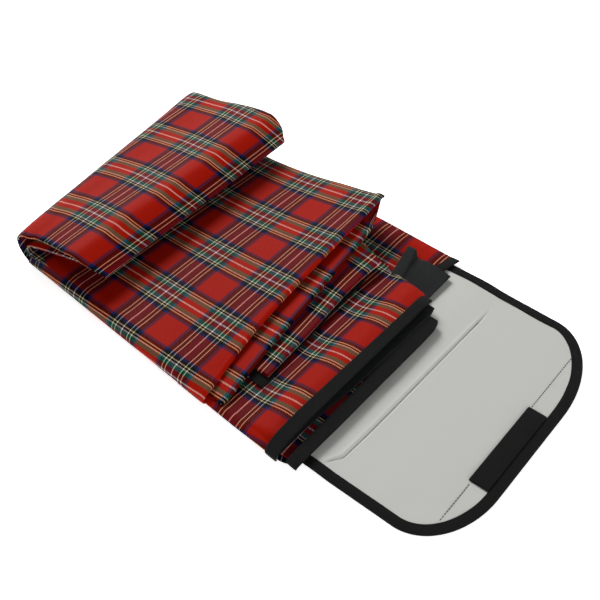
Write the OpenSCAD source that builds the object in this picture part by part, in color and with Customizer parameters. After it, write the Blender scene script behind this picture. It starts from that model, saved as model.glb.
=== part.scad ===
// A folding trolley's shopping bag, folded flat. It lies on its back panel with its lid
// open. X runs along the bag towards the lid's free edge, Y across it and Z up.

/* [Bag] */
// Thickness of one ply of the coated tartan cloth
cloth = 1; // [0.8:0.1:1.1]
// Far edge of the bag, from the lid's near corner
far_y = 325; // [320:1:330]
// Angle by which the folded bag's near edge slants off its length
near_slant = 4; // [2:0.5:5]
// Width of the tape that binds the cut edges
binding_w = 12; // [10:0.5:14]
// Thickness of a bound edge
binding_t = 2.6; // [2.2:0.1:3]

/* [Lid] */
// From the bag's mouth line to the lid's free edge
lid_reach = 163; // [150:1:180]
// Width of the lid
lid_w = 316; // [300:1:318]
// Radius of the lid's two free corners
lid_corner_r = 58; // [40:1:70]
// Thickness of the grey lining
lining = 0.6; // [0.4:0.1:0.8]

/* [Hook and loop] */
// Length of the hook strip on the lid
hook_l = 108; // [90:1:130]
// Width of the hook and loop strips
hook_w = 20; // [16:1:25]
// Near end of the hook strip, from the lid's near edge
hook_y = 85; // [70:1:100]
// Thickness of the hook strip and of the loop strip
hook_t = 1.8; // [1.4:0.1:2]

/* [Folds] */
// Outer radius of the puffed fold at the bag's left end
fold_r = 26; // [24:1:27]
// Angle by which that fold slants off the bag's width
fold_slant = 8.3; // [6:0.1:9]
// Near end of that fold, from the mouth line
fold_x = -418; // [-424:1:-414]
// Near end of the front panel's main crease, from the mouth line
crease_x = -118; // [-122:1:-116]
// Angle by which the main crease slants off the bag's width
crease_slant = 4.4; // [3.5:0.1:5]
// Near end of the upper pleat's crease, from the mouth line
pleat_x = -94.5; // [-96:0.5:-93]
// Angle by which the upper pleat slants off the bag's width
pleat_slant = 5.7; // [5:0.1:6.2]

/* [Turned-up end] */
// Top of the turned-up end at its crown
roll_top = 64.5; // [60:0.5:66]
// Rounding radius of the turned-up end's front
roll_r = 17; // [14:0.5:18]
// Front of the turned-up end, from the mouth line
roll_x = -291; // [-296:1:-286]

/* [Hidden] */
$fn = 64;

tartan = [0.69, 0.15, 0.11];
black = [0.11, 0.12, 0.11];
grey = [0.74, 0.74, 0.72];

// Mid-heights of the plies, from the floor up
gusset_low = 2.3;
gusset_high = 4.9;
collar_z = 6.5;
front_z = 7.7;
pocket_z = 8.9;
lower_pleat_z = 12;
upper_pleat_z = 16.7;
crease_z = 22.4;
mouth_z = 13.3;
pocket_mouth_z = 21;

// Radii of the turns inside the stack, at mid-ply
lower_pleat_r = 1.7;
upper_pleat_r = 2.2;
crease_r = 4.2;
gusset_r = (gusset_high - gusset_low) / 2;
inner_fold_r = 9;

// Both halves of the turned-up end's fold stop this many degrees short of its hinge line
fold_split = 4;
// Where the cloth's straight runs are joined, and lengths that reach past the bag
join_x = -330;
beyond = 700;
tall = 90;

// The mouth's turning panels start here, to the right of the pleats
turn_x = -75.2;
// The lid starts here, past its hinge strip on the back panel
lid_x = 9.5;
hinge_strip_x = 8.4;
near_y0 = -15;

// The origin is under the middle of the folded bag
far_end_y = 342;
near_end_y = 16;
fold_far_x = fold_x - far_corner_y() * tan(fold_slant);
mid_x = (fold_far_x + lid_reach) / 2;
mid_y = (near_y(-20) + far_end_y) / 2;

function near_y(x) = near_y0 - tan(near_slant) * x;
function far_corner_y() = 330;
function ease(s) = s * s * (3 - 2 * s);
function unit(v) = v / norm(v);

// Points of an arc about (cx, cz), from angle a0 to a1
function arc(cx, cz, r, a0, a1, n = 10) =
    [for (i = [0:n]) let (a = a0 + (a1 - a0) * i / n) [cx + r * cos(a), cz + r * sin(a)]];

// A turn of radius r that leads from height z at x = cx up to z + 2 r and back
function turn(cx, z, r) = arc(cx, z + r, r, -90, 90);

// Offset direction at point i of path p, stretched so that both sides stay parallel
function miter(p, i) =
    let (a = unit(p[min(i + 1, len(p) - 1)] - p[min(i, len(p) - 2)]),
         b = unit(p[max(i, 1)] - p[max(i - 1, 0)]),
         d = unit(a + b))
    [-d[1], d[0]] / (a * d);

// A ply of thickness t whose middle follows path p
module ply(p, t = cloth) {
    n = len(p) - 1;
    polygon(concat([for (i = [0:n]) p[i] + miter(p, i) * t / 2],
                   [for (i = [n:-1:0]) p[i] - miter(p, i) * t / 2]));
}

// Draws an X-Z outline over a stretch of Y
module across(y0, y1) {
    translate([0, y1, 0]) rotate([90, 0, 0]) linear_extrude(y1 - y0) children();
}

// Draws a Y-Z outline over a stretch of X
module along(x0, x1) {
    translate([x0, 0, 0]) rotate([90, 0, 90]) linear_extrude(x1 - x0) children();
}

// Keeps what lies over a plan outline
module over(outline) {
    intersection() {
        children();
        translate([0, 0, -tall / 2]) linear_extrude(2 * tall) polygon(outline);
    }
}

// A flat ply over a plan outline, with its middle at height z
module sheet(outline, z, t = cloth) {
    translate([0, 0, z - t / 2]) linear_extrude(t) polygon(outline);
}

function box_outline(x0, x1, y0, y1) = [[x0, y0], [x1, y0], [x1, y1], [x0, y1]];

module fold_frame() { translate([fold_x, 0, 0]) rotate(fold_slant) children(); }
module crease_frame() { translate([crease_x, 0, 0]) rotate(crease_slant) children(); }
module pleat_frame() { translate([pleat_x, 0, 0]) rotate(pleat_slant) children(); }
module near_frame() { translate([0, near_y0, 0]) rotate(-near_slant) children(); }

// ---- Back, gussets and collar ----

module back_panel() {
    outline = [[-beyond, near_y(-beyond)], [-20, near_y(-20)], [0, 0], [hinge_strip_x, 0],
               [hinge_strip_x, lid_w], [-30, lid_w], [-45, far_y], [-beyond, far_y]];
    color(tartan) over(outline) fold_frame() across(-80, 430)
        ply(concat(arc(fold_r, fold_r, fold_r - cloth / 2, 180 + fold_split, 270),
                   [[beyond, cloth / 2]]));
}

// A gusset folded in on itself, from its sewn edge at y0 to its crease at y1 and back
module gusset(y0, y1, back_to, t = cloth) {
    side = sign(y1 - y0);
    crease = arc(y1, gusset_low + gusset_r, gusset_r, -90, 90);
    ply(concat([[y0, gusset_low]],
               [for (q = crease) [y1 + side * (q[0] - y1), q[1]]],
               [[back_to, gusset_high]]), t);
}

gusset_x0 = -386;
near_gusset_x1 = -45;
far_gusset_x1 = -53;

module near_gusset() { color(tartan) near_frame() along(gusset_x0, near_gusset_x1) gusset(1, 95, 1); }
module far_gusset() { color(tartan) along(gusset_x0, far_gusset_x1) gusset(far_y - 1, 230, 252); }

module near_gusset_binding() {
    color(black) near_frame() along(near_gusset_x1, near_gusset_x1 + binding_w) gusset(1, 95, 1, 2 * cloth);
}

module far_gusset_binding() {
    color(black) along(far_gusset_x1, far_gusset_x1 + binding_w) gusset(far_y + 3, 230, 252, 2 * cloth);
}

// Black nylon collar inside the mouth, showing past the front's far edge
module collar() {
    color(black) sheet([[-82, 100], [-28, 100], [-26, 253], [-32, 300], [-72, 297], [-82, 302]],
                       collar_z, 0.8 * cloth);
}

// ---- Front panel and its pleats ----

run_z = fold_r - inner_fold_r;

// Front panel where it wraps round the inside of the left fold
module front_fold() {
    outline = [[-beyond, near_y(-beyond)], [join_x, near_y(join_x)], [join_x, far_y], [-beyond, far_y]];
    color(tartan) over(outline) fold_frame() across(-80, 430)
        ply(concat(arc(fold_r, fold_r, inner_fold_r, 180 + fold_split, 270), [[beyond, run_z]]));
}

// From there to the main crease and a little way back under it
module front_panel() {
    outline = [[join_x, near_y(join_x)], [0, near_y(0)], [0, far_y], [join_x, far_y]];
    rise = [for (s = [0:0.1:1]) [-115 + 110 * s, run_z + (crease_z + 2 * crease_r - run_z) * ease(s)]];
    color(tartan) over(outline) crease_frame() across(-80, 430)
        ply(concat([[-beyond, run_z]], rise, arc(-4.7, crease_z + crease_r, crease_r, 90, -90),
                   [[-36, crease_z]]));
}

module pleat(depth, z, r, y0, y1) {
    across(y0, y1) ply(concat([[-depth, z]], turn(-r - cloth / 2, z, r), [[-depth, z + 2 * r]]));
}

module upper_pleat() { color(tartan) pleat_frame() pleat(48, upper_pleat_z, upper_pleat_r, -6, 278); }
module lower_pleat() { color(tartan) translate([-79, 0, 0]) pleat(49, lower_pleat_z, lower_pleat_r, 43, 239); }

module front_under_pleats() {
    color(tartan) sheet([[-135, near_y(-135)], [-78.5, near_y(-78.5)], [-78.5, 230], [-135, 230]], front_z);
}

// ---- Pocket and mouth ----

module pocket_bottom() { color(tartan) sheet(box_outline(-130, -78.5, -9, 248), pocket_z); }

module loop_strip() {
    color(black) sheet(box_outline(-98.5, -78.5, 28, 230), pocket_z + (cloth + hook_t) / 2, hook_t);
}

// A mouth panel that rises off the plies under it and runs level to its bound edge
module mouth_panel(z0, z1, x1, y0, y1) {
    color(tartan) across(y0, y1)
        ply(concat([for (s = [0:0.125:1]) [turn_x + 26 * s, z0 + (z1 - z0) * ease(s)]], [[x1, z1]]));
}

module bound_edge(z, x0, x1, y0, y1) {
    color(black) across(y0, y1)
        polygon(concat(arc(x1 - binding_t / 2, z, binding_t / 2, -90, 90),
                       [[x0, z + binding_t / 2], [x0, z - binding_t / 2]]));
}

front_edge_x = 3.5;
pocket_edge_x = -20.5;

module front_mouth() { mouth_panel(7.9, mouth_z, front_edge_x - binding_w, -8, 229); }
module front_mouth_binding() { bound_edge(mouth_z, front_edge_x - binding_w, front_edge_x, -8, 229); }
module pocket_mouth() { mouth_panel(9.4, pocket_mouth_z, pocket_edge_x - binding_w, -12, 246); }
module pocket_binding() { bound_edge(pocket_mouth_z, pocket_edge_x - binding_w, pocket_edge_x, -12, 246); }

// ---- Lid ----

lid_low = 0.5;
lining_low = lid_low + cloth;
lining_top = lining_low + lining;
stitch_x = 133;
stitch_l = 3;
stitch_pitch = 4.5;

// The lid's outline, drawn in by a margin on its three free sides
module lid_outline(margin) {
    r = lid_corner_r - margin;
    x1 = lid_reach - margin;
    translate([lid_x, margin]) square([x1 - r - lid_x, lid_w - 2 * margin]);
    translate([lid_x, margin + r]) square([x1 - lid_x, lid_w - 2 * (margin + r)]);
    for (y = [margin + r, lid_w - margin - r]) translate([x1 - r, y]) circle(r);
}

module lid_outer() { color(tartan) translate([0, 0, lid_low]) linear_extrude(cloth) lid_outline(binding_w); }
module lid_lining() { color(grey) translate([0, 0, lining_low]) linear_extrude(lining) lid_outline(binding_w); }

module lid_binding() {
    color(black) difference() {
        linear_extrude(binding_t) lid_outline(0);
        translate([0, 0, -1]) linear_extrude(binding_t + 2) lid_outline(binding_w);
        translate([lid_x - 1, binding_w, -1]) cube([binding_w, lid_w - 2 * binding_w, binding_t + 2]);
    }
}

module hook_strip() {
    x1 = lid_reach - binding_w;
    color(black) translate([x1 - hook_w, hook_y, lining_top]) cube([hook_w, hook_l, hook_t]);
}

// Seam across the lid, on both sides of the hook strip
module lid_stitching() {
    color(black)
        for (y = [30:stitch_pitch:lid_w - 34])
            if (y + stitch_l < hook_y - 1 || y > hook_y + hook_l + 1)
                translate([stitch_x, y, lining_top]) cube([0.6, stitch_l, 0.4]);
}

// ---- Turned-up end ----

// Plan outline of the turned-up end between two x values
function end_outline(x0, x1) =
    let (near0 = near_end_y + 0.06 * (x0 - fold_x), near1 = near_end_y + 0.06 * (x1 - fold_x))
    [[x0, near0], [x1, near1], [x1, far_end_y], [join_x - 20, far_end_y],
     [fold_far_x, far_corner_y()], [x0, far_corner_y()]];

top_z = 2 * fold_r - cloth / 2;
crown_z = roll_top - cloth / 2;
front_c = [roll_x - roll_r - cloth / 2, crown_z - roll_r];

// Back panel turned up over the top and round the front
module back_end() {
    flat_x = -388;
    crown_x = -345;
    left = [fold_frame_x(fold_r, -80), fold_frame_x(fold_r, 430)];
    color(tartan) {
        over(end_outline(-500, roll_x)) fold_frame() across(-80, 430)
            ply(arc(fold_r, fold_r, fold_r - cloth / 2, 180 - fold_split, 90));
        over([left[0], [0, left[0][1]], [0, left[1][1]], left[1]])
            over(end_outline(-500, roll_x + 1)) across(-80, 430)
                ply(concat([[-beyond, top_z]],
                           [for (s = [0:0.125:1])
                               [flat_x + (crown_x - flat_x) * s, top_z + (crown_z - top_z) * ease(s)]],
                           arc(front_c[0], front_c[1], roll_r, 90, -90, 16),
                           [[front_c[0] - 28, front_c[1] - roll_r]]));
    }
}

// A point of the fold's own frame, as a plan point
function fold_frame_x(x, y) = [fold_x + x * cos(fold_slant) - y * sin(fold_slant),
                               x * sin(fold_slant) + y * cos(fold_slant)];

// Front panel turned up under it
module front_end() {
    color(tartan) over(end_outline(-500, front_c[0] - 6)) fold_frame() across(-80, 430)
        ply(concat(arc(fold_r, fold_r, inner_fold_r, 180 - fold_split, 90),
                   [[beyond, fold_r + inner_fold_r]]));
}

// Base panel folded in between them
module base_panel() {
    base_r = 3;
    base_z = 39;
    color(tartan) over(end_outline(-500, 0)) across(-80, 430)
        ply(concat([[-318, base_z]], arc(-388, base_z + base_r, base_r, -90, -270),
                   [[-318, base_z + 2 * base_r]]));
}

// Gusset ends, folded flat under the top
module gusset_end(y0, y1) {
    low = 47.9;
    r = 0.95;
    side = sign(y1 - y0);
    color(tartan) along(-388, -322)
        ply(concat([[y0, low]],
                   [for (q = arc(y1, low + r, r, -90, 90)) [y1 + side * (q[0] - y1), q[1]]],
                   [[y0, low + 2 * r]]));
}

module near_gusset_end() { gusset_end(28, 112); }
module far_gusset_end() { gusset_end(326, 240); }

module placed() { translate([-mid_x, -mid_y, 0]) children(); }

placed() back_panel();
placed() near_gusset();
placed() far_gusset();
placed() near_gusset_binding();
placed() far_gusset_binding();
placed() collar();
placed() front_fold();
placed() front_panel();
placed() upper_pleat();
placed() lower_pleat();
placed() front_under_pleats();
placed() pocket_bottom();
placed() loop_strip();
placed() front_mouth();
placed() front_mouth_binding();
placed() pocket_mouth();
placed() pocket_binding();
placed() lid_outer();
placed() lid_lining();
placed() lid_binding();
placed() hook_strip();
placed() lid_stitching();
placed() back_end();
placed() front_end();
placed() base_panel();
placed() near_gusset_end();
placed() far_gusset_end();
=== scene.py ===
"""Looks of the folded tartan trolley bag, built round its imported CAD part."""

import math

import bpy
import numpy as np
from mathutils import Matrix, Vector, noise


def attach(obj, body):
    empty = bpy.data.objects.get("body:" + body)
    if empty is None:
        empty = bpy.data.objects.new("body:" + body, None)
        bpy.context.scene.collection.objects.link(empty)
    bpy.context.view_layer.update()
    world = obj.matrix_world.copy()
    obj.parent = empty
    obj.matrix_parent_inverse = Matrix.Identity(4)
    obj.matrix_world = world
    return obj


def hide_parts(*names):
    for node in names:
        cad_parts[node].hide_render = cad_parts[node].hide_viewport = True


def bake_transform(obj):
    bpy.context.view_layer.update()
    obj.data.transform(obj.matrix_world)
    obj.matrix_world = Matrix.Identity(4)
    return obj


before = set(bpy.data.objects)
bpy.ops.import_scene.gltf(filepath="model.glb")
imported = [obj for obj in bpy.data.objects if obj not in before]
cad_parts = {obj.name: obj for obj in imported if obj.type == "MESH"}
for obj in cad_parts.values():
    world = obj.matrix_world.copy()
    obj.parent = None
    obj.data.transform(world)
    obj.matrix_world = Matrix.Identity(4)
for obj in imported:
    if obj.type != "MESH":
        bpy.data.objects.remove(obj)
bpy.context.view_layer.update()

# Every shape below is in millimetres from the near end of the bag's mouth line, as in the
# CAD source: X towards the lid's free edge, Y across the bag, Z up.
MIDDLE = np.array([-151.57, 164.2, 0.0])
# Thickness of a ply of the tartan and of the nylon
CLOTH = 0.9
NYLON = 0.7
# The tartan repeats at these lengths along the bag and across it. The pocket's ply is drawn in
REPEAT_ALONG = 81.0
REPEAT_ACROSS = 78.5
POCKET_REPEAT = 75.4
# Half of a repeat in the stripes' widths below, and the pitch of the weave's diagonal
HALF_REPEAT = 40.35
TWILL = 1.9


# ---------------------------------------------------------------- shapes


def placed(points):
    """The points in the part's own frame, in metres."""
    return (np.asarray(points, float) - MIDDLE) * 0.001


def spline(keys, values, at):
    """A smooth curve through values, of any shape, at keys, read at the numbers in at."""
    keys, values, at = (np.asarray(a, float) for a in (keys, values, at))
    slope = np.gradient(values, keys, axis=0)
    gaps = np.diff(keys)
    i = np.clip(np.searchsorted(keys, at, side="right") - 1, 0, len(gaps) - 1)
    gap = gaps[i]
    before = np.clip(3 * gaps[np.maximum(i - 1, 0)] / gap, 0, 1)
    after = np.clip(3 * gaps[np.minimum(i + 1, len(gaps) - 1)] / gap, 0, 1)
    f = np.clip((at - keys[i]) / gap, 0, 1)
    f, gap, before, after = (a.reshape(a.shape + (1,) * (values.ndim - 1)) for a in (f, gap, before, after))
    chord = (values[i + 1] - values[i]) / gap
    return (
        (2 * f**3 - 3 * f**2 + 1) * values[i]
        + (f**3 - 2 * f**2 + f) * gap * lerp(chord, slope[i], before)
        + (3 * f**2 - 2 * f**3) * values[i + 1]
        + (f**3 - f**2) * gap * lerp(chord, slope[i + 1], after)
    )


def spread(keys, n):
    """n numbers over keys, closer together where the keys are, as at a tight fold."""
    share = keys / keys[-1] + np.arange(len(keys)) / (len(keys) - 1)
    return np.interp(np.linspace(0, share[-1], n), share, keys)


def lengths(points, axis):
    """Distance run along an axis of a grid of points."""
    steps = np.linalg.norm(np.diff(points, axis=axis), axis=-1)
    start = np.zeros_like(np.take(steps, [0], axis=axis))
    return np.concatenate([start, np.cumsum(steps, axis=axis)], axis=axis)


def loft(rows, nu, nv):
    """A grid of points through rows of key points, each of which runs along the cloth."""
    rows = np.array(rows, float)
    keys = lengths(rows, 1).mean(0)
    along = spline(keys, rows.transpose(1, 0, 2), spread(keys, nu))
    across = lengths(rows, 0).mean(1)
    return spline(across, along.transpose(1, 0, 2), spread(across, nv)).transpose(1, 0, 2)


def arc(cx, cz, r, a0, a1, n):
    """Points of an arc in the X-Z plane, with its angles in degrees."""
    a = np.radians(np.linspace(a0, a1, n))
    return np.stack([cx + r * np.cos(a), cz + r * np.sin(a)], 1)


def rippled(grid, height, size, seed=0):
    """The grid with soft wrinkles of about that height and size."""
    out = grid.copy()
    for p in out.reshape(-1, 3):
        p[2] += height * noise.noise(Vector((p[0] / size, p[1] / size, seed)))
    return out


def lerp(a, b, f):
    """The value at a share f of the way from a to b."""
    return a + (b - a) * f


# ---------------------------------------------------------------- materials


class Nodes:
    """A material's node tree, with shorthand for what is used here."""

    def __init__(self, name):
        self.material = bpy.data.materials.new(name)
        self.material.use_nodes = True
        self.tree = self.material.node_tree
        self.shader = self.tree.nodes["Principled BSDF"]

    def join(self, value, socket):
        if isinstance(value, bpy.types.NodeSocket):
            self.tree.links.new(value, socket)
        else:
            socket.default_value = value

    def math(self, operation, *values):
        n = self.tree.nodes.new("ShaderNodeMath")
        n.operation = operation
        for value, socket in zip(values, n.inputs):
            self.join(value, socket)
        return n.outputs[0]

    def cloth_place(self):
        """Place on the cloth, along it and across it, in repeats of the tartan."""
        uv = self.tree.nodes.new("ShaderNodeUVMap")
        uv.uv_map = "cloth"
        split = self.tree.nodes.new("ShaderNodeSeparateXYZ")
        self.join(uv.outputs[0], split.inputs[0])
        return split.outputs[0], split.outputs[1]

    def noise(self, scale, detail=2.0):
        place = self.tree.nodes.new("ShaderNodeTexCoord")
        n = self.tree.nodes.new("ShaderNodeTexNoise")
        self.join(place.outputs["Object"], n.inputs["Vector"])
        n.inputs["Scale"].default_value = scale
        n.inputs["Detail"].default_value = detail
        return n.outputs[0]

    def bump(self, height, depth, strength=1.0):
        n = self.tree.nodes.new("ShaderNodeBump")
        n.inputs["Distance"].default_value = depth
        n.inputs["Strength"].default_value = strength
        self.join(height, n.inputs["Height"])
        self.join(n.outputs[0], self.shader.inputs["Normal"])

    def finish(self, roughness, specular, sheen=0.0):
        self.shader.inputs["Roughness"].default_value = roughness
        self.shader.inputs["Specular IOR Level"].default_value = specular
        self.shader.inputs["Sheen Weight"].default_value = sheen
        return self.material


# Thread colours, before the dyed cloth's tone curve
RED = (0.63, 0.14, 0.06)
BLACK = (0.035, 0.05, 0.055)
BLUE = (0.13, 0.19, 0.40)
GREEN = (0.20, 0.49, 0.40)
YELLOW = (0.87, 0.80, 0.60)
CREAM = (0.87, 0.84, 0.74)
WHITE = (0.90, 0.86, 0.84)
PLUM = (0.19, 0.08, 0.20)
TONE = 2.6

# Half a repeat of the stripes that run along the bag, and of those that run across it
STRIPES_ALONG = [(0.8, WHITE), (6.4, RED), (4.9, GREEN), (1.3, CREAM), (2.2, BLACK), (1.3, YELLOW),
                 (3.6, BLACK), (3.1, BLUE), (16.75, RED)]
STRIPES_ACROSS = [(0.5, WHITE), (6.6, PLUM), (2.1, BLACK), (1.2, CREAM), (3.5, BLACK), (1.2, CREAM),
                  (5.2, BLACK), (3.2, BLUE), (16.85, RED)]


def threads(nodes, place, stripes):
    """Colour of the threads at a place counted in repeats. The stripes mirror at both ends."""
    ramp = nodes.tree.nodes.new("ShaderNodeValToRGB")
    ramp.color_ramp.interpolation = "CONSTANT"
    elements = ramp.color_ramp.elements
    elements.remove(elements[1])
    edge = 0.0
    for i, (width, colour) in enumerate(stripes):
        stop = elements[0] if i == 0 else elements.new(edge / HALF_REPEAT)
        stop.position = edge / HALF_REPEAT
        stop.color = (*colour, 1)
        edge += width
    nodes.join(nodes.math("MULTIPLY", nodes.math("PINGPONG", place, 0.5), 2.0), ramp.inputs[0])
    return ramp.outputs[0]


def tartan_cloth():
    n = Nodes("tartan_cloth")
    along, across = n.cloth_place()
    diagonal = n.math("ADD", n.math("MULTIPLY", along, REPEAT_ALONG / TWILL),
                      n.math("MULTIPLY", across, REPEAT_ACROSS / TWILL))
    twill = n.math("SINE", n.math("MULTIPLY", diagonal, 2 * math.pi))
    mix = n.tree.nodes.new("ShaderNodeMix")
    mix.data_type = "RGBA"
    n.join(n.math("MULTIPLY_ADD", twill, 0.3, 0.5), mix.inputs["Factor"])
    n.join(threads(n, across, STRIPES_ALONG), mix.inputs["A"])
    n.join(threads(n, along, STRIPES_ACROSS), mix.inputs["B"])
    gamma = n.tree.nodes.new("ShaderNodeGamma")
    n.join(mix.outputs["Result"], gamma.inputs["Color"])
    gamma.inputs["Gamma"].default_value = TONE
    n.join(gamma.outputs[0], n.shader.inputs["Base Color"])
    n.bump(twill, 0.0001, 0.5)
    return n.finish(0.55, 0.035)


def woven(name, colour, pitch, depth, roughness, specular, sheen):
    """A plain-coloured weave."""
    n = Nodes(name)
    n.shader.inputs["Base Color"].default_value = (*colour, 1)
    along, across = n.cloth_place()
    warp = n.math("SINE", n.math("MULTIPLY", along, REPEAT_ALONG * 2 * math.pi / pitch))
    weft = n.math("SINE", n.math("MULTIPLY", across, REPEAT_ACROSS * 2 * math.pi / pitch))
    n.bump(n.math("MULTIPLY", warp, weft), depth)
    return n.finish(roughness, specular, sheen)


def grey_coating():
    n = Nodes("grey_coating")
    n.shader.inputs["Base Color"].default_value = (0.5, 0.504, 0.475, 1)
    n.bump(n.noise(60, 4.0), 0.0012, 0.35)
    return n.finish(0.5, 0.12)


def rough_tape(name, colour, scale, depth, roughness):
    """Tape with hooks or loops."""
    n = Nodes(name)
    n.shader.inputs["Base Color"].default_value = (*colour, 1)
    n.bump(n.noise(scale, 3.0), depth)
    return n.finish(roughness, 0.1, 0.02)


MATERIALS = {
    "tartan_cloth": tartan_cloth(),
    "black_binding": woven("black_binding", (0.0052, 0.0058, 0.0052), 0.9, 0.00015, 0.6, 0.08, 0.005),
    "black_nylon": woven("black_nylon", (0.0058, 0.0066, 0.0072), 0.6, 0.00008, 0.45, 0.1, 0.005),
    "grey_coating": grey_coating(),
    "hook_tape": rough_tape("hook_tape", (0.0035, 0.0035, 0.0035), 2600, 0.0005, 0.7),
    "loop_tape": rough_tape("loop_tape", (0.0045, 0.0045, 0.0045), 1800, 0.0006, 0.9),
    "thread": rough_tape("thread", (0.02, 0.02, 0.022), 4000, 0.0001, 0.6),
}


# ---------------------------------------------------------------- builders


def mesh_object(name, points, faces, material, uv=None):
    """A smooth mesh of points in millimetres."""
    mesh = bpy.data.meshes.new(name)
    mesh.from_pydata(placed(points).tolist(), [], [list(map(int, f)) for f in faces])
    if uv is not None:
        layer = mesh.uv_layers.new(name="cloth")
        corners = np.zeros(len(mesh.loops), np.int32)
        mesh.loops.foreach_get("vertex_index", corners)
        layer.data.foreach_set("uv", np.asarray(uv)[corners].astype(np.float32).ravel())
    mesh.materials.append(material)
    mesh.shade_smooth()
    obj = bpy.data.objects.new(name, mesh)
    bpy.context.scene.collection.objects.link(obj)
    return obj


def mesh_piece(name, points, faces, slot, uv=None):
    """A visible piece of the bag, in its slot's material."""
    obj = mesh_object(name, points, faces, MATERIALS[slot], uv)
    return obj


def grid_faces(nu, nv, closed=False):
    """The faces of a grid of nu by nv points. A closed grid joins its last column to its first."""
    i, j = np.meshgrid(np.arange(nu - 1), np.arange(nv if closed else nv - 1), indexing="ij")
    i, j, k = i.ravel(), j.ravel(), (j.ravel() + 1) % nv
    return np.stack([i * nv + j, i * nv + k, (i + 1) * nv + k, (i + 1) * nv + j], 1)


def thickened(obj, thickness):
    """The piece with a real thickness of cloth, applied."""
    solid = obj.modifiers.new("ply", "SOLIDIFY")
    solid.thickness = thickness * 0.001
    solid.offset = 0
    with bpy.context.temp_override(object=obj, active_object=obj):
        bpy.ops.object.modifier_apply(modifier="ply")
    return obj


def run_from(run, place, ref, axis):
    """Lengths counted from where the cloth first passes ref. place holds the grid's X or Y."""
    away = np.abs(place - ref)
    near = away < away.min(axis, keepdims=True) + 2
    i = np.expand_dims(near.argmax(axis), axis)
    slope = np.sign(np.take_along_axis(np.gradient(place, axis=axis), i, axis))
    return run - np.take_along_axis(run, i, axis) - slope * (ref - np.take_along_axis(place, i, axis))


def cloth(name, grid, slot="tartan_cloth", red_x=0.0, white_y=0.0, repeat=REPEAT_ACROSS, thickness=CLOTH,
          white_from=None, held="folded"):
    """A ply of cloth over a grid. The tartan has a red stripe across it at red_x and a thin white
    stripe along it at white_y, or white_from gives it as a grid column and a distance from it."""
    nu, nv = grid.shape[:2]
    s = run_from(lengths(grid, 0), grid[..., 0], red_x, 0) / REPEAT_ALONG + 0.5
    run = lengths(grid, 1)
    if white_from is None:
        t = run_from(run, grid[..., 1], white_y, 1) / repeat
    else:
        t = (run - run[:, [white_from[0]]] - white_from[1]) / repeat
    uv = np.stack([s, t], -1).reshape(-1, 2)
    obj = thickened(mesh_piece(name, grid.reshape(-1, 3), grid_faces(nu, nv), slot, uv), thickness)
    return obj


def swept(name, path, side, up, half_w, half_t, slot, round_end=1.5):
    """A tape with rounded edges along a path. side and up are its directions at each point."""
    path, side, up = (np.asarray(a, float) for a in (path, side, up))
    run = lengths(path, 0)
    half_w = np.broadcast_to(half_w, len(path)).astype(float)
    left = np.minimum(run, run[-1] - run)
    ends = np.sqrt(np.clip(1 - (1 - np.clip(left / round_end, 0.02, 1)) ** 2, 0, 1))
    a = np.linspace(0, 2 * math.pi, 21)[:-1]
    across = np.sign(np.cos(a)) * np.abs(np.cos(a)) ** 0.35
    above = np.sign(np.sin(a)) * np.abs(np.sin(a)) ** 0.7
    w = (half_w - round_end * (1 - ends))[:, None, None]
    t = (half_t * ends)[:, None, None]
    ring = path[:, None] + side[:, None] * across[None, :, None] * w + up[:, None] * above[None, :, None] * t
    n, m = ring.shape[:2]
    faces = list(grid_faces(n, m, closed=True)) + [list(range(m))[::-1], [(n - 1) * m + k for k in range(m)]]
    uv = np.stack([np.broadcast_to(run[:, None] / REPEAT_ALONG, (n, m)),
                   across[None] * half_w[:, None] / REPEAT_ACROSS], -1).reshape(-1, 2)
    return mesh_piece(name, ring.reshape(-1, 3), faces, slot, uv)


def flat_tape(name, path, half_w, half_t):
    """A tape that lies flat along a path across the bag, in the slot of its own name."""
    path = np.asarray(path, float)
    side = np.tile([1.0, 0, 0], (len(path), 1))
    up = np.tile([0, 0, 1.0], (len(path), 1))
    return swept(name, path, side, up, half_w, half_t, name, round_end=0.5)


def frame_along(path, up=(0, 0, 1)):
    """Side and up directions of a tape that follows path."""
    tangent = np.gradient(np.asarray(path, float), axis=0)
    side = np.cross(tangent, up)
    side /= np.linalg.norm(side, axis=1)[:, None]
    above = np.cross(side, tangent)
    return side, above / np.linalg.norm(above, axis=1)[:, None]


def stitches(name, points, length=2.6, pitch=3.6, radius=0.36, lift=0.12):
    """Stitches laid end to end along a line of points."""
    points = np.asarray(points, float)
    run = lengths(points, 0)
    starts = np.arange(pitch / 2, run[-1] - length, pitch)
    verts, faces = [], []
    for start in starts:
        s = start + length * np.array([0, 0.15, 0.5, 0.85, 1])
        line = np.stack([np.interp(s, run, points[:, k]) for k in range(3)], 1)
        line[:, 2] += lift * np.array([-1.5, 0.5, 1, 0.5, -1.5])
        side, above = frame_along(line)
        base = len(verts)
        for i in range(5):
            r = radius * (0.5 if i in (0, 4) else 1)
            for a in np.arange(6) * math.pi / 3:
                verts.append(line[i] + side[i] * r * math.cos(a) + above[i] * r * 0.7 * math.sin(a))
        faces += [list(f + base) for f in grid_faces(5, 6, closed=True)]
        faces += [[base + k for k in range(6)][::-1], [base + 24 + k for k in range(6)]]
    return mesh_piece(name, np.array(verts), faces, "thread")


# ---------------------------------------------------------------- the bag's outline


def near_y(x):
    """The bag's near edge."""
    return -15.5 - 0.069 * np.asarray(x, float)


def far_y(x):
    """The bag's far edge."""
    return np.interp(x, [-330, -143], [322, 327])


def fold_x(y):
    """Leftmost line of the puffed fold at the bag's left end."""
    return -429.5 - 43 * (np.asarray(y, float) - 14) / 316


# ---------------------------------------------------------------- back panel and turned-up end


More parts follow.
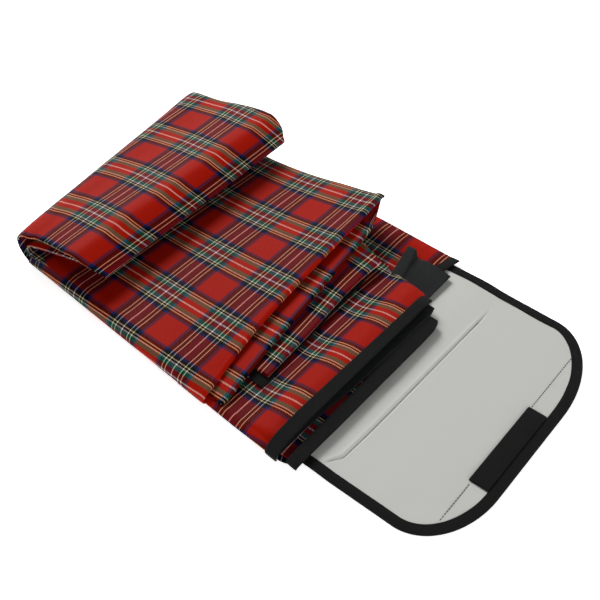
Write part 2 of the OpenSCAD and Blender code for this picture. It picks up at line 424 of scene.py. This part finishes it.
def back_row(f):
    """The back panel's ply from the mouth round the left fold and over the turned-up end."""
    y_fold = lerp(13, 331, f)
    left = fold_x(y_fold)
    sag = 1 - min(1, f / 0.17)
    lift = max(0, f - 0.75) / 0.25
    # x, and y at the near and at the far edge
    lying = [(8, 5, 316), (-3, 2, 316), (-12, -8, 317), (-20, -10.5, 318)]
    lying += [(x, near_y(x) + 4, 322) for x in (-60, -200, -330)]
    lying = [(x, lerp(y0, y1, f), 0.5) for x, y0, y1 in lying]
    bend = [(x, y_fold, z * (1 - 0.07 * sag * max(0, z - 26) / 25))
            for x, z in arc(left + 26, 26, 25.5, 265, 100, 14)]
    # x at the near and at the far edge, y at the near and at the far edge, and the height
    over = [(-397, -416, 17, 334, 52 - 3 * sag + 2 * lift),
            (-377, -385, 18, 338, 55.8 - 3.5 * sag + 3.5 * lift),
            (-358, -358, 16.5, 342, 60.2 - 3 * sag + 2 * lift),
            (-342, -342, 15.5, 343, 63.4 - 2.5 * sag),
            (-331, -331, 16.5, 343, 63.2 - 1.5 * sag),
            (-321, -321, 18, 342, 58.8 - sag),
            (-310.5, -312.5, 22, 340, 51.5),
            (-304, -308.5, 27, 337, 44),
            (-301, -306, 30.5, 336, 38.5),
            (-303.5, -309.5, 33, 336, 34),
            (-316, -316, 34, 337, 32.4),
            (-330, -330, 32, 338, 32)]
    over = [(lerp(x0, x1, f), lerp(y0, y1, f), z) for x0, x1, y0, y1, z in over]
    return lying + bend + over


def back_sheet():
    """The whole ply. The turned-up end's two sides curl under, away from its last edge."""
    rows = [back_row(f) for f in np.linspace(0, 1, 7)]
    for edge, inward in ((rows[0], 1), (rows[-1], -1)):
        turned = [min(1, max(0, (z - 26) / 15)) * min(1, max(0, (len(edge) - 4 - i) / 3))
                  for i, (x, y, z) in enumerate(edge)]
        for dy, dz in ((0.2, 1.6), (2.6, 4.6)):
            row = [(x, y + inward * dy * k, z - dz * k) for (x, y, z), k in zip(edge, turned)]
            rows = [row] + rows if inward > 0 else rows + [row]
    grid = rippled(loft(rows, 240, 90), 0.5, 60, 3)
    grid[..., 2] = np.maximum(grid[..., 2], CLOTH / 2)
    return grid[::-1]


back_grid = back_sheet()
# The stripes follow a row that crosses the turned-up end's top
top_y = back_grid[60, :, 1]
back_edge = int(top_y.argmin())
back_red = np.interp(top_y, [14, 330], [-406, -411])
back_cloth = cloth("back_cloth", back_grid, red_x=back_red, white_from=(back_edge, 62.5), repeat=80.7)
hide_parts("back_panel", "back_end")
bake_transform(back_cloth)

# ---------------------------------------------------------------- front panel


def crest(f):
    """(x, z) of the front panel's main crease at a share of its width."""
    return (spline([0, 0.25, 0.5, 0.75, 1], [-121, -133, -138.5, -141, -142.5], f),
            spline([0, 0.25, 0.5, 0.75, 1], [17.5, 26, 33, 40.5, 47.5], f))


def front_row(f):
    """The front panel's ply from under the turned-up end, over the main crease and back."""
    cx, cz = (float(a) for a in crest(f))

    def rise(x):
        return 17 + (cz - 17) * (max(0, x + 315) / (cx + 315)) ** 1.6 - 4 * max(0, -x - 385) / 30

    open_share = 1 - 0.75 * min(1, max(0, (f - 0.8) / 0.2))
    upper = [(x, rise(x)) for x in (-414, -405, -385, -360, -332, -300, -265, -230, -200, -175, -155)]
    turn = [(cx - dx, cz - open_share * dz)
            for dx, dz in ((6, 0.6), (2, 0.9), (0.2, 2.4), (0.3, 4.2), (2.5, 5.6))]
    under = [(cx - dx, min(cz - open_share * dz, rise(cx - dx) - 2))
             for dx, dz in ((8, 6.2), (22, 6.6), (38, 7))]
    return [(x, lerp(near_y(x) + 9, far_y(x) - 5, f), max(z, 1.5)) for x, z in upper + turn + under]


def front_sheet():
    """The whole ply, with its near side falling to the floor and its far side turned under."""
    rows = [front_row(f) for f in (0, 0.06, 0.15, 0.25, 0.38, 0.5, 0.62, 0.75, 0.88, 1)]
    near = [[(x, y - 8.6, min(2.2, z)) for x, y, z in rows[0]],
            [(x, y - 10.5, min(5, 0.32 * z)) for x, y, z in rows[0]],
            [(x, y - 10.2, 0.6 * z) for x, y, z in rows[0]],
            [(x, y - 6.5, 0.87 * z) for x, y, z in rows[0]]]
    far = []
    for dy, dz in ((4.5, 1.8), (5.5, 4.5), (3.5, 7), (-14, 8.5)):
        row = [(x, min(1, max(0.12, (-150 - x) / 50)), y, z) for x, y, z in rows[-1]]
        far.append([(x, y + k * dy, z - k * dz) for x, k, y, z in row])
    return rippled(loft(near + rows + far, 220, 150), 0.45, 45, 7)


front_grid = front_sheet()
front_red = np.interp(front_grid[0, :, 1], [120, 320], [-209, -202])
front_cloth = cloth("front_cloth", front_grid, red_x=front_red, white_y=69.0, repeat=78.5)
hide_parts("front_panel")
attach(front_cloth, "bag_body")


def inner_fold():
    """The front panel's ply round the inside of the left fold and under the turned-up end."""
    rows = []
    for f in (0, 0.06, 0.15, 0.3, 0.5, 0.75, 1):
        full = min(1, f / 0.3)
        r = lerp(4.6, 9, full)
        left = float(fold_x(lerp(20, 326, f))) + 9
        under = [(-331, near_y(-331) + 9, 317, 15.6), (-375, near_y(-375) + 4, 319, 15.6)]
        bend = [(x, 12.5 + 4.5 * g**2, lerp(324, 332, g), z)
                for g, (x, z) in zip(np.linspace(0, 1, 11), arc(left + 2 * r, 16.4 + r, r, -90, -270, 11))]
        over = [(-378, 26, 334, lerp(27.5, 34.6, full)),
                (-348, 31, 334, lerp(31, 34.6, full)),
                (-314, 36, 334, 34.4)]
        rows.append([(x, lerp(near, far, f), z) for x, near, far, z in under + bend + over])
    return loft(rows, 110, 70)


fold_grid = inner_fold()
fold_cloth = cloth("inner_fold_cloth", fold_grid, red_x=-371.0, white_y=81.0)
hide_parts("front_fold", "front_end")
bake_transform(fold_cloth)

# ---------------------------------------------------------------- gussets


def gusset_rows(x0, x1, y_edge, y_crease, y_back, z0, z1):
    """A gusset folded flat: its lower ply from the sewn edge to the crease, and its upper ply back."""
    side = np.sign(y_crease - y_edge)
    r = (z1 - z0) / 2
    turn = [(y_crease + side * y, z) for y, z in arc(0, z0 + r, r, -80, 80, 5)]
    lower = [(y_edge, z0), (lerp(y_edge, y_crease, 0.5), z0)]
    upper = [(lerp(y_crease, y_back, 0.5), z1), (y_back, z1)]
    return [[(x, y, z) for y, z in lower + turn + upper] for x in np.linspace(x0, x1, 5)]


def gusset_cloth(name, node, body, rows, **tartan):
    """Its rows run across the bag, so the grid is turned to run along it."""
    obj = cloth(name, loft(rows, 70, 60).transpose(1, 0, 2), **tartan)
    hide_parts(node)
    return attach(obj, body)


def near_gusset_rows():
    rows = gusset_rows(-386, -45, 0, 95, 2, 2.4, 4.7)
    return [[(x, y + (near_y(x) + 12) * (1 - y / 95), z) for x, y, z in row] for row in rows]


def far_gusset_rows():
    rows = []
    for x in (-386, -300, -220, -150, -110, -75, -45):
        edge = float(np.interp(x, [-386, -150, -52], [321, 327.5, 326.5]))
        lift = float(np.interp(x, [-220, -150, -100, -52], [0, 2.5, 2, 1]))
        rows.append([(x, edge, 2.2 + lift), (x, edge - 10, 4 + lift), (x, 285, 3.2 + lift), (x, 240, 2.4),
                     (x, 231, 3), (x, 231, 4.2), (x, 240, 4.8), (x, 252, 4.9)])
    return rows


gusset_cloth("near_gusset_cloth", "near_gusset", "bag_body", near_gusset_rows(), red_x=-128, white_y=60)
gusset_cloth("far_gusset_cloth", "far_gusset", "bag_body", far_gusset_rows(), red_x=-81, white_y=272)


def edge_of(grid, column, floor_z, xs):
    """Points of a grid's near or far edge over xs, on the part of it above floor_z."""
    edge = grid[:, column][grid[:, column, 2] > floor_z]
    edge = edge[np.argsort(edge[:, 0])]
    return np.stack([xs, np.interp(xs, edge[:, 0], edge[:, 1]), np.interp(xs, edge[:, 0], edge[:, 2])], 1)


def end_gusset(column, inward):
    """The turned-up end's side: a gusset ply that folds inward between its top and under plies."""
    xs = np.linspace(-417, -309, 60)
    top = edge_of(np.flip(back_grid[: len(back_grid) // 2], 0), column, 44, xs)
    under = edge_of(fold_grid, column, 24, xs)
    rows = []
    for t, u in zip(top, under):
        gap = t[2] - u[2]
        middle = (max(t[1], u[1]) if inward > 0 else min(t[1], u[1])) + inward * (8 + 0.9 * gap)
        rows.append([(t[0], t[1] + inward * 0.4, t[2] - 0.6),
                     (t[0], lerp(t[1], middle, 0.6), t[2] - 0.24 * gap),
                     (t[0], middle, u[2] + 0.55 * gap),
                     (t[0], middle, u[2] + 0.45 * gap),
                     (t[0], lerp(u[1], middle, 0.6), u[2] + 0.22 * gap),
                     (u[0], u[1] + inward * 0.6, u[2] + 0.9)])
    return rows


for part, column, inward in (("near_gusset_end", 0, 1), ("far_gusset_end", -1, -1)):
    gusset_cloth(f"{part}_cloth", part, "rolled_end", end_gusset(column, inward),
                 red_x=-408, white_from=(-1, 0))


def base_rows():
    """The bag's base, folded in half inside the turned-up end."""
    turn = [tuple(p) for p in arc(-388, 42, 3, -95, -265, 7)]
    path = [(-318, 39), (-350, 39)] + turn + [(-350, 45), (-318, 45)]
    return [[(x, lerp(66, 300, f), z) for x, z in path] for f in np.linspace(0, 1, 5)]


base_cloth = cloth("base_cloth", loft(base_rows(), 60, 50), red_x=-328, white_y=74)
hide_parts("base_panel")
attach(base_cloth, "rolled_end")

# ---------------------------------------------------------------- pleats under the main crease


def pleat_grid(stations, nu=90, nv=90, seed=1):
    """A pleat's two plies and the fold between them. Each station is the fold's (x, y), the
    height of its upper ply, the gap to its lower ply, how deep it goes in, and how far it falls
    and how far it moves across going in."""
    rows = []
    for x, y, top, gap, depth, fall, lean in stations:
        r = gap / 2
        turn = [(x - r + r * math.cos(a), y, top - r + r * math.sin(a))
                for a in np.radians([85, 45, 0, -45, -85])]
        inner = [(x - depth * k, y + lean * k, top - fall * k) for k in (1, 0.55, 0.15)]
        rows.append(inner + turn + [(x, y, z - gap) for x, y, z in inner[1::-1]])
    return rippled(loft(rows, nu, nv), 0.35, 35, seed)


upper_pleat_grid = pleat_grid(
    [(-103, -1, 10.5, 2.6, 46, 0.8, 0), (-101.5, 6, 12.5, 3, 46, 2, 0), (-106, 45, 17, 3.6, 46, 4, 0),
     (-111, 95, 20.5, 4, 46, 4, 0), (-116, 150, 24, 4.2, 46, 3.5, 0), (-121, 205, 28, 4.4, 46, 3, 0),
     (-125, 250, 32, 4.2, 42, 1, 4), (-127, 272, 34.5, 3.2, 30, -2, 20),
     (-128.5, 284, 35.5, 2.2, 17, -6, 36)])
upper_pleat = cloth("upper_pleat_cloth", upper_pleat_grid, red_x=upper_pleat_grid[..., 0].max(0) - 22.5,
                    white_y=18.4, repeat=81)
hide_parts("upper_pleat")
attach(upper_pleat, "bag_body")

lower_pleat_grid = pleat_grid(
    [(-89, 53, 14.5, 3, 44, 1.5, 0), (-90.5, 78, 15, 3.2, 44, 1.5, 0), (-92.5, 120, 16, 3.4, 44, 1, 0),
     (-96, 165, 17, 3.4, 44, 0, 0), (-98, 200, 18, 3.4, 44, -2, 0), (-97.5, 232, 19.5, 3.4, 40, -4, 3),
     (-95, 254, 20.5, 2.6, 38, -6, 10)], seed=5)
lower_pleat = cloth("lower_pleat_cloth", lower_pleat_grid, red_x=lower_pleat_grid[..., 0].max(0) - 39,
                    white_y=89.6, repeat=79.8)
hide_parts("lower_pleat")
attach(lower_pleat, "bag_body")

under_rows = [[(-135, y, 6.3), (-110, y, 6.2), (-78, y, 6.2)] for y in (6, 80, 160, 230)]
under_pleats = cloth("front_under_cloth", loft(under_rows, 24, 60), red_x=-97, white_y=43,
                     repeat=POCKET_REPEAT)
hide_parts("front_under_pleats")
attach(under_pleats, "bag_body")

# ---------------------------------------------------------------- pocket


def pocket_height(x, y):
    """Height of the pocket's ply, which rises from under the pleats to its bound edge."""
    edge = float(np.interp(y, [-6, 4, 30, 120, 246], [11, 14.5, 18.5, 20, 20]))
    s = min(max((x + 86) / 46, 0), 1)
    return 7.8 + (edge - 7.8) * (1 - math.cos(math.pi * s)) / 2


def pocket_rows():
    xs = (-134, -118, -102, -92, -84, -76, -68, -60, -52, -44, -37, -31, -27)
    rows = [[(x, y, pocket_height(x, y)) for x in xs] for y in (-5, 3, 15, 40, 85, 130, 175, 215, 240)]
    rows = [[(x, lerp(near_y(x) + 8, y, min(1, (y + 5) / 20)), z) for x, y, z in row] for row in rows]
    # The near side comes up off the floor. The far side turns under, and slants
    first = [[(x, near_y(x) + y, share * pocket_height(x, -5)) for x in xs]
             for y, share in ((4.0, 0.13), (1.2, 0.3), (0.6, 0.6), (4, 0.88))]
    last = [[(x, y, max(pocket_height(x, 240) - dz, 7.6)) for x in xs]
            for y, dz in ((245.5, 0.6), (247.5, 2.4), (246.5, 4.2), (238, 5))]
    slant = np.interp(xs, [-134, -94, -81, -63, -48, -34, -27], [21, 18, 15, 7.5, 1.5, -2, -3])
    slant = dict(zip(xs, slant))
    return first + [[(x, y + slant[x] * max(0, (y - 150) / 97), z) for x, y, z in row] for row in rows + last]


pocket_grid = rippled(loft(pocket_rows(), 100, 110), 0.3, 40, 9)
pocket = cloth("pocket_cloth", pocket_grid, red_x=-46.0, white_y=43.0, repeat=POCKET_REPEAT)
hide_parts("pocket_bottom", "pocket_mouth")
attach(pocket, "bag_body")


def bound_edge(name, node, stations, half_w, half_t):
    """A cut edge's binding: stations are (x, y, z, lean) along its middle line."""
    stations = np.array(stations, float)
    run = lengths(stations[:, :3], 0)
    at = spline(run, stations, np.linspace(0, run[-1], 150))
    lean = np.radians(at[:, 3])
    side = np.stack([np.cos(lean), np.zeros_like(lean), np.sin(lean)], 1)
    tangent = np.gradient(at[:, :3], axis=0)
    up = np.cross(side, tangent)
    up /= np.linalg.norm(up, axis=1)[:, None]
    widths = spline(run, np.broadcast_to(half_w, len(stations)), np.linspace(0, run[-1], 150))
    obj = swept(name, at[:, :3], side, up, widths, half_t, "black_binding")
    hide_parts(node)
    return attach(obj, "bag_body")


bound_edge("pocket_binding_tape", "pocket_binding",
           [(-27.5, -13.6, 3.2, -8), (-27.5, -15, 8, -8), (-27.6, -10.5, 13, -6), (-27.6, -2, 16.5, -5),
            (-27.4, 25, 19.8, -4), (-26.6, 80, 20.6, -4), (-25.6, 140, 20.6, -4), (-24.6, 200, 20.6, -4),
            (-24.2, 237, 20, -4), (-24.2, 243.5, 17.5, -4)],
           (7.2, 7.2, 7.4, 7.6, 7.6, 7.2, 6.8, 6.6, 6.4, 6.2), 1.2)

# ---------------------------------------------------------------- front's mouth edge


def mouth_rows():
    xs = (-75, -66, -56, -46, -36, -26, -16, -9, -4)
    rows = []
    for y in (-8, 5, 40, 90, 140, 190, 224):
        edge = float(np.interp(y, [-8, 10, 60, 224], [8.5, 10.5, 12, 11.5]))
        rows.append([(x, y, lerp(6.9, edge, min(max((x + 75) / 40, 0), 1))) for x in xs])
    return rows


mouth_grid = rippled(loft(mouth_rows(), 60, 90), 0.25, 30, 11)
front_mouth = cloth("front_mouth_cloth", mouth_grid, red_x=-60.0, white_y=31.0, repeat=77)
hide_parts("front_mouth")
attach(front_mouth, "bag_body")

bound_edge("front_binding_tape", "front_mouth_binding",
           [(-6.5, -9, 3.6, -14), (-5.8, -10.5, 6.5, -14), (-5, -4, 9.6, -12), (-4.4, 20, 10.8, -10),
            (-3.6, 60, 11.4, -10), (-3.4, 110, 11.8, -8), (-3.2, 160, 11.8, -8), (-3.2, 200, 11.8, -8),
            (-3.6, 218, 12, -6), (-4.6, 227, 12, -4)],
           (6.6, 6.6, 6.8, 7, 7.2, 7.6, 8, 8, 7.4, 5), 1.25)


def nylon_facing():
    """Black nylon that shows under the pocket's bound edge."""
    outline = [(-9, -20.4), (20, -19), (50, -17.4), (85, -14), (116, -12.2), (155, -10.6), (200, -9.6),
               (228, -9.6), (238, -12)]
    rows = []
    for y, edge in outline:
        low = float(np.interp(y, [-9, 10, 40, 240], [9.8, 12, 13.6, 13.8]))
        inner = max(y, 8)
        rows.append([(-46, inner, low + 1.8), (-36, inner, low + 2.2), (-28, lerp(inner, y, 0.4), low + 2),
                     (lerp(-28, edge, 0.6), y, low + 0.8), (edge, y, low)])
    return loft(rows, 30, 100)


facing = cloth("nylon_facing", rippled(nylon_facing(), 0.3, 25, 13), slot="black_nylon", thickness=NYLON)
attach(facing, "bag_body")

# ---------------------------------------------------------------- collar at the far side of the mouth


def collar_rows():
    right = -28
    rows = []
    for f in np.linspace(0, 1, 9):
        y = lerp(100, 300, f) if f < 1 else 304
        left = float(np.interp(y, [100, 265, 286, 304], [-80, -82, -88, -90]))
        bulge = 1.6 * max(0, (y - 235) / 65)
        shift = lerp(0, -2.5, max(0, (y - 250) / 54))
        top = float(np.interp(y, [100, 250, 304], [6.0, 7.6, 8.6]))
        rows.append([(left + shift, y, top + 1.2 * bulge),
                     (left + 5, y, top + 1.8 * bulge),
                     (left + 13 + shift, y - 2 * f, top + 1.7 * bulge),
                     (left + 17 + shift, y - 6 * f, top - 0.4 * bulge),
                     (left + 26, y - 7 * f, top + 0.5 * bulge),
                     (left + 42, y - 7 * f, top + 0.8 * bulge),
                     (right, y - 9 * f, top)])
    return rows


collar_grid = rippled(loft(collar_rows(), 60, 90), 0.5, 22, 17)
collar = cloth("collar_cloth", collar_grid, slot="black_nylon", thickness=NYLON)
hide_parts("collar")
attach(collar, "bag_body")

bound_edge("far_gusset_binding_tape", "far_gusset_binding",
           [(-47.5, 256, 5.6, 0), (-47, 285, 5.2, 0), (-45, 305, 5.6, 4), (-42.5, 318, 5.4, 6),
            (-41, 326, 4.6, 6)], 6.2, 1.2)
bound_edge("near_gusset_binding_tape", "near_gusset_binding",
           [(-39, 3, 3.4, 0), (-39, 20, 3.6, 0), (-39, 55, 3.6, 0), (-39, 84, 3.6, 0)], 5.8, 1.2)

loop_y = np.linspace(40, 230, 80)
loop_x = np.interp(loop_y, [40, 56, 80, 230], [-94.8, -95.2, -99.5, -107])
loop_z = np.interp(loop_y, [40, 60, 230], [10.2, 9.6, 9.6])
loop = flat_tape("loop_tape", np.column_stack([loop_x, loop_y, loop_z]), 9.6, 0.8)
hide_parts("loop_strip")
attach(loop, "bag_body")

# ---------------------------------------------------------------- lid

LID_END = 163.0
LID_WIDTH = 316.0
# How far in from the free edge the lid's plies end, inside its binding, and the binding's half width
PLY_INSET = 8.5
TAPE_HALF_WIDTH = 5.9
# Corner curves of the lid's free edge: how far each one reaches along the lid and across it
NEAR_CORNER = (60.0, 85.0)
FAR_CORNER = (68.0, 110.0)


def lid_outline(inset, near_start=-4.0, far_start=-4.0):
    """The lid's free edge, drawn in by inset, from the mouth's near end round to its far end."""
    a = np.radians(np.linspace(-90, 0, 50))
    (nx, ny), (fx, fy) = NEAR_CORNER, FAR_CORNER
    near = [(LID_END - nx + (nx - inset) * math.cos(k), ny + (ny - inset) * math.sin(k)) for k in a]
    far = [(LID_END - fx + (fx - inset) * math.cos(k), LID_WIDTH - fy - (fy - inset) * math.sin(k))
           for k in a[::-1]]
    side = [(x, inset) for x in np.linspace(near_start, near[0][0], 60)[:-1]]
    back = [(x, LID_WIDTH - inset) for x in np.linspace(far[-1][0], far_start, 70)[1:]]
    end = [(LID_END - inset, y) for y in np.linspace(ny, LID_WIDTH - fy, 40)[1:-1]]
    line = np.array(side + near + end + far + back)
    line[:, 1] += np.interp(line[:, 1], [0, LID_WIDTH], [0, 2]) * np.clip(1 - line[:, 0] / 90, 0, 1)
    return line


def lid_span(x, inset):
    """The lid's near and far edge at x, drawn in by inset."""
    line = lid_outline(inset)
    middle = int(line[:, 0].argmax())
    near = np.interp(x, line[:middle, 0], line[:middle, 1])
    far = np.interp(x, line[:middle:-1, 0], line[:middle:-1, 1])
    return near, far


def lid_height(x):
    """Height of the lid's lining, which comes down off the bag's mouth to lie on the floor."""
    return np.interp(x, [-60, -40, -2, 6, 14, 22, 28, 40, 170], [2.6, 3.0, 3.6, 3.6, 3.2, 2.6, 2.0, 1.9, 1.9])


def lid_crease(x, y):
    """How far the lid dips along the crease beside its hinge."""
    away = x - np.interp(y, [10, 20, 30, 75, 270], [14, 18, 25, 27, 31])
    fade = np.interp(y, [12, 20, 262, 285], [0, 1, 1, 0])
    return fade * (1.5 * np.exp(-((away / 1.1) ** 2)) - 0.9 * np.exp(-(((away + 3) / 2.2) ** 2)))


def lid_ply(name, node, slot, drop, thickness, start, **tartan):
    """The lid's lining or its outer cloth, drop below the lining, from start to the free edge."""
    x1 = lid_outline(PLY_INSET)[:, 0].max() - 0.05
    stretches = ((start, -9, 12), (-8, 42, 84), (44, x1 - 6, 50), (x1 - 5, x1, 16))
    xs = np.concatenate([np.linspace(*stretch) for stretch in stretches])
    grid = np.zeros((len(xs), 120, 3))
    for i, x in enumerate(xs):
        y0, y1 = lid_span(max(x, -4), PLY_INSET)
        grid[i, :, 0] = x
        grid[i, :, 1] = np.linspace(y0, y1, 120)
        grid[i, :, 2] = lid_height(x)
    grid = rippled(grid, 0.5, 30, 21)
    grid[..., 2] = np.maximum(grid[..., 2] - lid_crease(grid[..., 0], grid[..., 1]) - drop, 0.4)
    obj = cloth(name, grid, slot=slot, thickness=thickness, held="laid", **tartan)
    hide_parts(node)
    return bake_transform(obj)


lid_ply("lid_lining_cloth", "lid_lining", "grey_coating", 0, 0.3, -58)
lid_ply("lid_outer_cloth", "lid_outer", "tartan_cloth", 0.72, 0.7, -12, red_x=60, white_y=43)

edge_line = lid_outline(TAPE_HALF_WIDTH, -6, -46)
edge_path = np.column_stack([edge_line, np.maximum(lid_height(edge_line[:, 0]) - 0.45, 1.3)])
for p in edge_path:
    p[2] += 0.12 * noise.noise(Vector((p[0] / 14, p[1] / 14, 2)))
edge_side, edge_up = frame_along(edge_path)
lid_tape = swept("lid_binding_tape", edge_path, edge_side, edge_up, TAPE_HALF_WIDTH, 1.25, "black_binding")
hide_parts("lid_binding")
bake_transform(lid_tape)

hook = flat_tape("hook_tape", [(141.0, y, 3.0) for y in np.linspace(84, 195, 60)], 10.6, 0.8)
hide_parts("hook_strip")
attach(hook, "lid")

for part, y0, y1 in (("near", 30, 84), ("far", 195, 286)):
    seam_line = [(133.2 - 0.004 * (y - 140), y, 2.15) for y in np.linspace(y0, y1, 40)]
    seam = stitches(f"lid_seam_{part}", seam_line)
    if part == "near":
        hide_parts("lid_stitching")
    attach(seam, "lid")

# ---------------------------------------------------------------- floor, light and camera

FLOOR_REACH = 40000.0

pale = Nodes("pale_floor")
pale.shader.inputs["Base Color"].default_value = (0.93, 0.93, 0.93, 1)
pale.shader.inputs["Emission Color"].default_value = (1, 1, 1, 1)
pale.shader.inputs["Emission Strength"].default_value = 0.7
floor_corners = [(x * FLOOR_REACH, y * FLOOR_REACH, 0) for x, y in ((-1, -1), (1, -1), (1, 1), (-1, 1))]
floor = mesh_object("floor", floor_corners, [(0, 1, 2, 3)], pale.finish(0.9, 0.1))

# A dim room with a bright band low around it, so that the floor has no dark horizon
world = bpy.data.worlds.new("studio")
world.use_nodes = True
bpy.context.scene.world = world
sky = world.node_tree
background = sky.nodes["Background"]
background.inputs["Color"].default_value = (1, 1, 1, 1)
direction = sky.nodes.new("ShaderNodeTexCoord")
height = sky.nodes.new("ShaderNodeSeparateXYZ")
strength = sky.nodes.new("ShaderNodeMapRange")
strength.inputs["From Min"].default_value = 0.2
strength.inputs["From Max"].default_value = 0.4
strength.inputs["To Min"].default_value = 1.0
strength.inputs["To Max"].default_value = 0.16
sky.links.new(direction.outputs["Generated"], height.inputs[0])
sky.links.new(height.outputs["Z"], strength.inputs["Value"])
sky.links.new(strength.outputs[0], background.inputs["Strength"])


def lamp(name, where, size, power):
    """A square soft lamp, at a place in metres, aimed at the origin."""
    light = bpy.data.lights.new(name, "AREA")
    light.size = size
    light.energy = power
    obj = bpy.data.objects.new(name, light)
    bpy.context.scene.collection.objects.link(obj)
    obj.location = where
    obj.rotation_mode = "QUATERNION"
    obj.rotation_quaternion = (-Vector(where)).to_track_quat("-Z", "Y")


lamp("key", (-1.8, 0.9, 1.7), 1.1, 82)
lamp("fill", (1.9, -0.9, 0.6), 1.0, 24)

bpy.context.scene.view_settings.view_transform = "Standard"

camera = bpy.data.objects.new("camera", bpy.data.cameras.new("camera"))
camera.data.lens = 57
camera.location = placed((322.4, -395.5, 758.5))
camera.rotation_mode = "QUATERNION"
camera.rotation_quaternion = (Vector(placed((-140.3, 165.7, 0))) - camera.location).to_track_quat("-Z", "Y")
bpy.context.scene.collection.objects.link(camera)
bpy.context.scene.camera = camera
